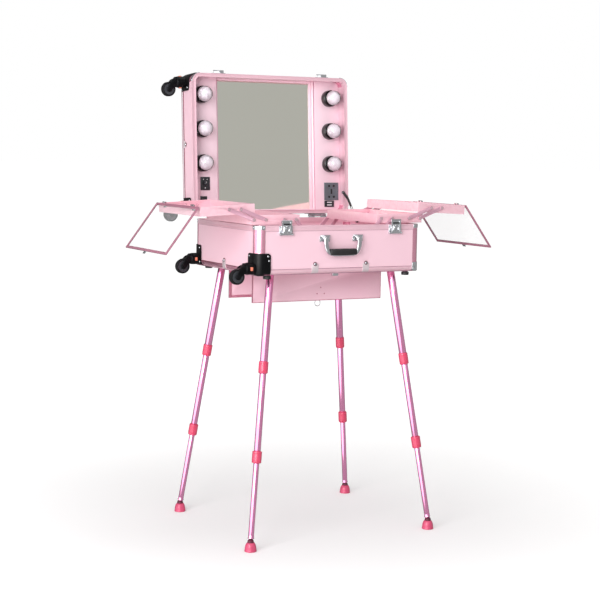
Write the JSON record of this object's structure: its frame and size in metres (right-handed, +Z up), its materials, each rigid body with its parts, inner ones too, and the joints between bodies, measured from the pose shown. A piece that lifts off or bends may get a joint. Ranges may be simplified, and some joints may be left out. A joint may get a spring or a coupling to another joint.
{
  "type": "vanity box with mirror",
  "caption": "Open make-up case standing on telescopic legs, with a lighted mirror in its lid, fold-out trays with clear covers and casters on one side.",
  "frame": {"origin": "floor level, under the middle of the open part's bounding box", "axes": "+Z up, the case faces -Y with the mirror at the back, +X to the viewer's right; the casters are on the -X side"},
  "size_m": [1.0616, 0.5868, 1.3373],
  "materials": {
    "pink_board": "smooth pink laminate over board",
    "pink_profile": "pink anodised, satin",
    "chrome_trim": "bright chrome plate",
    "black_plastic": "moulded black",
    "black_rubber": "matte",
    "leg_tube": "magenta pink anodised tube with red pink collars",
    "rivet_steel": "plated",
    "lamp_board": "pale pink sheet",
    "mirror_glass": "silvered glass",
    "bulb_glass": "clear globe",
    "tray_sheet": "pink painted sheet",
    "arm_metal": "mauve pink plated",
    "cover_frame": "dark mauve edging",
    "clear_sheet": "clear plastic sheet"
  },
  "bodies": {
    "base": {"base_walls": "pink_board", "base_frame": "pink_profile", "base_bottom": "pink_board", "case_floor": "pink_board", "base_corners": "chrome_trim", "base_hardware": "chrome_trim", "rubber_feet": "black_rubber", "case_hinge": "chrome_trim", "base_caster_brackets": "black_plastic", "leg_upper_sections": "leg_tube", "tray_brackets": "arm_metal"},
    "lid": {"lid_walls": "pink_board", "lid_frame": "pink_profile", "lid_corners": "chrome_trim", "lamp_boards": "lamp_board", "mirror": "mirror_glass", "lamp_sockets": "black_plastic", "lamp_bulbs": "bulb_glass", "power_panels": "black_plastic", "lid_caster_brackets": "black_plastic"},
    "knob": {"dimmer_knob": "black_plastic"},
    "stay": {"lid_stay": "black_plastic"},
    "handle": {"handle_bail": "chrome_trim", "handle_grip": "black_rubber"},
    "latch_left": {"left_latch": "chrome_trim"},
    "latch_right": {"right_latch": "chrome_trim"},
    "base_front_swivel": {"base_front_fork": "black_plastic"},
    "base_front_roller": {"base_front_wheel": "black_rubber"},
    "base_rear_swivel": {"base_rear_fork": "black_plastic"},
    "base_rear_roller": {"base_rear_wheel": "black_rubber"},
    "lid_top_swivel": {"lid_top_fork": "black_plastic"},
    "lid_top_roller": {"lid_top_wheel": "black_rubber"},
    "lid_bottom_swivel": {"lid_bottom_fork": "black_plastic"},
    "lid_bottom_roller": {"lid_bottom_wheel": "black_rubber"},
    "front_left_middle": {"front_left_leg_middle": "leg_tube"},
    "front_left_lower": {"front_left_leg_lower": "leg_tube"},
    "front_right_middle": {"front_right_leg_middle": "leg_tube"},
    "front_right_lower": {"front_right_leg_lower": "leg_tube"},
    "rear_left_middle": {"rear_left_leg_middle": "leg_tube"},
    "rear_left_lower": {"rear_left_leg_lower": "leg_tube"},
    "rear_right_middle": {"rear_right_leg_middle": "leg_tube"},
    "rear_right_lower": {"rear_right_leg_lower": "leg_tube"},
    "front_door_leaf": {"front_door": "pink_board"},
    "rear_door_leaf": {"rear_door": "pink_board"},
    "left_lower_link_inner": {"left_lower_arm_inner": "arm_metal"},
    "left_lower_link_outer": {"left_lower_arm_outer": "arm_metal"},
    "left_lower_box": {"left_lower_tray": "tray_sheet"},
    "left_upper_link_inner": {"left_upper_arm_inner": "arm_metal"},
    "left_upper_link_outer": {"left_upper_arm_outer": "arm_metal"},
    "left_upper_box": {"left_upper_tray": "tray_sheet"},
    "left_cover": {"left_cover_frame": "cover_frame", "left_cover_sheet": "clear_sheet"},
    "right_lower_link_inner": {"right_lower_arm_inner": "arm_metal"},
    "right_lower_link_outer": {"right_lower_arm_outer": "arm_metal"},
    "right_lower_box": {"right_lower_tray": "tray_sheet"},
    "right_upper_link_inner": {"right_upper_arm_inner": "arm_metal"},
    "right_upper_link_outer": {"right_upper_arm_outer": "arm_metal"},
    "right_upper_box": {"right_upper_tray": "tray_sheet"},
    "right_cover": {"right_cover_frame": "cover_frame", "right_cover_sheet": "clear_sheet"}
  },
  "joints": [
    {"name": "lid_hinge", "type": "hinge", "parent": "base", "child": "lid", "pos_m": [0, 0.18557, 0.902], "axis": [1, 0, 0], "range_deg": [0, 50]},
    {"name": "stay_pivot", "type": "hinge", "parent": "lid", "child": "stay", "pos_m": [0.2495, 0.18996, 0.97186], "axis": [1, 0, 0], "range_deg": [-27.6, 0]},
    {"name": "dimmer_turn", "type": "hinge", "parent": "lid", "child": "knob", "pos_m": [-0.21, 0.22768, 0.99794], "axis": [0, -0.998, 0.0628], "range_deg": [-135, 135]},
    {"name": "handle_lift", "type": "hinge", "parent": "base", "child": "handle", "pos_m": [0, -0.25243, 0.857], "axis": [-1, 0, 0], "range_deg": [0, 95]},
    {"name": "left_latch_flip", "type": "hinge", "parent": "base", "child": "latch_left", "pos_m": [-0.176, -0.24543, 0.872], "axis": [1, 0, 0], "range_deg": [0, 150]},
    {"name": "right_latch_flip", "type": "hinge", "parent": "base", "child": "latch_right", "pos_m": [0.176, -0.24543, 0.872], "axis": [1, 0, 0], "range_deg": [0, 150]},
    {"name": "base_front_caster_swivel", "type": "hinge", "parent": "base", "child": "base_front_swivel", "pos_m": [-0.284, -0.21743, 0.778], "axis": [1, 0, 0], "continuous": true},
    {"name": "base_front_wheel_roll", "type": "hinge", "parent": "base_front_swivel", "child": "base_front_roller", "pos_m": [-0.313, -0.21743, 0.756], "axis": [0, 1, 0], "continuous": true},
    {"name": "base_rear_caster_swivel", "type": "hinge", "parent": "base", "child": "base_rear_swivel", "pos_m": [-0.284, 0.15657, 0.778], "axis": [1, 0, 0], "continuous": true},
    {"name": "base_rear_wheel_roll", "type": "hinge", "parent": "base_rear_swivel", "child": "base_rear_roller", "pos_m": [-0.313, 0.15657, 0.756], "axis": [0, 1, 0], "continuous": true},
    {"name": "lid_top_caster_swivel", "type": "hinge", "parent": "lid", "child": "lid_top_swivel", "pos_m": [-0.284, 0.27175, 1.30038], "axis": [1, 0, 0], "continuous": true},
    {"name": "lid_top_wheel_roll", "type": "hinge", "parent": "lid_top_swivel", "child": "lid_top_roller", "pos_m": [-0.313, 0.27175, 1.27838], "axis": [0, 1, 0], "continuous": true},
    {"name": "lid_bottom_caster_swivel", "type": "hinge", "parent": "lid", "child": "lid_bottom_swivel", "pos_m": [-0.284, 0.24827, 0.92711], "axis": [1, 0, 0], "continuous": true},
    {"name": "lid_bottom_wheel_roll", "type": "hinge", "parent": "lid_bottom_swivel", "child": "lid_bottom_roller", "pos_m": [-0.313, 0.24827, 0.90511], "axis": [0, 1, 0], "continuous": true},
    {"name": "front_left_leg_upper_slide", "type": "slide", "parent": "base", "child": "front_left_middle", "axis": [0.1261, 0.1181, 0.985], "range_m": [0, 0.2]},
    {"name": "front_left_leg_lower_slide", "type": "slide", "parent": "front_left_middle", "child": "front_left_lower", "axis": [0.1261, 0.1181, 0.985], "range_m": [0, 0.17]},
    {"name": "front_right_leg_upper_slide", "type": "slide", "parent": "base", "child": "front_right_middle", "axis": [-0.1261, 0.1181, 0.985], "range_m": [0, 0.2]},
    {"name": "front_right_leg_lower_slide", "type": "slide", "parent": "front_right_middle", "child": "front_right_lower", "axis": [-0.1261, 0.1181, 0.985], "range_m": [0, 0.17]},
    {"name": "rear_left_leg_upper_slide", "type": "slide", "parent": "base", "child": "rear_left_middle", "axis": [0.1261, -0.1181, 0.985], "range_m": [0, 0.2]},
    {"name": "rear_left_leg_lower_slide", "type": "slide", "parent": "rear_left_middle", "child": "rear_left_lower", "axis": [0.1261, -0.1181, 0.985], "range_m": [0, 0.17]},
    {"name": "rear_right_leg_upper_slide", "type": "slide", "parent": "base", "child": "rear_right_middle", "axis": [-0.1261, -0.1181, 0.985], "range_m": [0, 0.2]},
    {"name": "rear_right_leg_lower_slide", "type": "slide", "parent": "rear_right_middle", "child": "rear_right_lower", "axis": [-0.1261, -0.1181, 0.985], "range_m": [0, 0.17]},
    {"name": "front_door_hinge", "type": "hinge", "parent": "base", "child": "front_door_leaf", "pos_m": [0, -0.10743, 0.7612], "axis": [-1, 0, 0], "range_deg": [0, 45]},
    {"name": "rear_door_hinge", "type": "hinge", "parent": "base", "child": "rear_door_leaf", "pos_m": [0, 0.04657, 0.7612], "axis": [1, 0, 0], "range_deg": [0, 45]},
    {"name": "left_lower_fold", "type": "hinge", "parent": "base", "child": "left_lower_link_inner", "pos_m": [-0.09429, -0.22543, 0.86016], "axis": [0, 1, 0], "range_deg": [0, 90]},
    {"name": "left_lower_tray_level", "type": "hinge", "parent": "left_lower_link_inner", "child": "left_lower_box", "pos_m": [-0.138, -0.22543, 0.91225], "axis": [0, 1, 0], "range_deg": [-90, 0]},
    {"name": "left_lower_arm_follow", "type": "hinge", "parent": "base", "child": "left_lower_link_outer", "pos_m": [-0.13029, -0.22543, 0.86016], "axis": [0, 1, 0], "range_deg": [0, 90]},
    {"name": "left_upper_fold", "type": "hinge", "parent": "left_lower_box", "child": "left_upper_link_inner", "pos_m": [-0.232, -0.22543, 0.91225], "axis": [0, 1, 0], "range_deg": [0, 138.2]},
    {"name": "left_upper_tray_level", "type": "hinge", "parent": "left_upper_link_inner", "child": "left_upper_box", "pos_m": [-0.30748, -0.22543, 0.94107], "axis": [0, 1, 0], "range_deg": [-136, 0]},
    {"name": "left_upper_arm_follow", "type": "hinge", "parent": "left_lower_box", "child": "left_upper_link_outer", "pos_m": [-0.268, -0.22543, 0.91225], "axis": [0, 1, 0], "range_deg": [0, 138.2]},
    {"name": "left_cover_hinge", "type": "hinge", "parent": "left_upper_box", "child": "left_cover", "pos_m": [-0.42865, -0.22543, 0.9506], "axis": [0, 1, 0], "range_deg": [0, 229.5]},
    {"name": "right_lower_fold", "type": "hinge", "parent": "base", "child": "right_lower_link_inner", "pos_m": [0.09429, -0.22543, 0.86016], "axis": [0, -1, 0], "range_deg": [0, 90]},
    {"name": "right_lower_tray_level", "type": "hinge", "parent": "right_lower_link_inner", "child": "right_lower_box", "pos_m": [0.138, -0.22543, 0.91225], "axis": [0, -1, 0], "range_deg": [-90, 0]},
    {"name": "right_lower_arm_follow", "type": "hinge", "parent": "base", "child": "right_lower_link_outer", "pos_m": [0.13029, -0.22543, 0.86016], "axis": [0, -1, 0], "range_deg": [0, 90]},
    {"name": "right_upper_fold", "type": "hinge", "parent": "right_lower_box", "child": "right_upper_link_inner", "pos_m": [0.232, -0.22543, 0.91225], "axis": [0, -1, 0], "range_deg": [0, 138.2]},
    {"name": "right_upper_tray_level", "type": "hinge", "parent": "right_upper_link_inner", "child": "right_upper_box", "pos_m": [0.30748, -0.22543, 0.94107], "axis": [0, -1, 0], "range_deg": [-136, 0]},
    {"name": "right_upper_arm_follow", "type": "hinge", "parent": "right_lower_box", "child": "right_upper_link_outer", "pos_m": [0.268, -0.22543, 0.91225], "axis": [0, -1, 0], "range_deg": [0, 138.2]},
    {"name": "right_cover_hinge", "type": "hinge", "parent": "right_upper_box", "child": "right_cover", "pos_m": [0.42865, -0.22543, 0.9506], "axis": [0, -1, 0], "range_deg": [0, 229.5]}
  ],
  "couplings": [
    {"joint": "stay_pivot", "follows": "lid_hinge", "ratio": -0.5419},
    {"joint": "left_lower_tray_level", "follows": "left_lower_fold", "ratio": -1},
    {"joint": "left_lower_arm_follow", "follows": "left_lower_fold", "ratio": 1},
    {"joint": "left_upper_tray_level", "follows": "left_upper_fold", "ratio": -0.97829},
    {"joint": "left_upper_arm_follow", "follows": "left_upper_fold", "ratio": 1},
    {"joint": "right_lower_tray_level", "follows": "right_lower_fold", "ratio": -1},
    {"joint": "right_lower_arm_follow", "follows": "right_lower_fold", "ratio": 1},
    {"joint": "right_upper_tray_level", "follows": "right_upper_fold", "ratio": -0.97829},
    {"joint": "right_upper_arm_follow", "follows": "right_upper_fold", "ratio": 1}
  ]
}
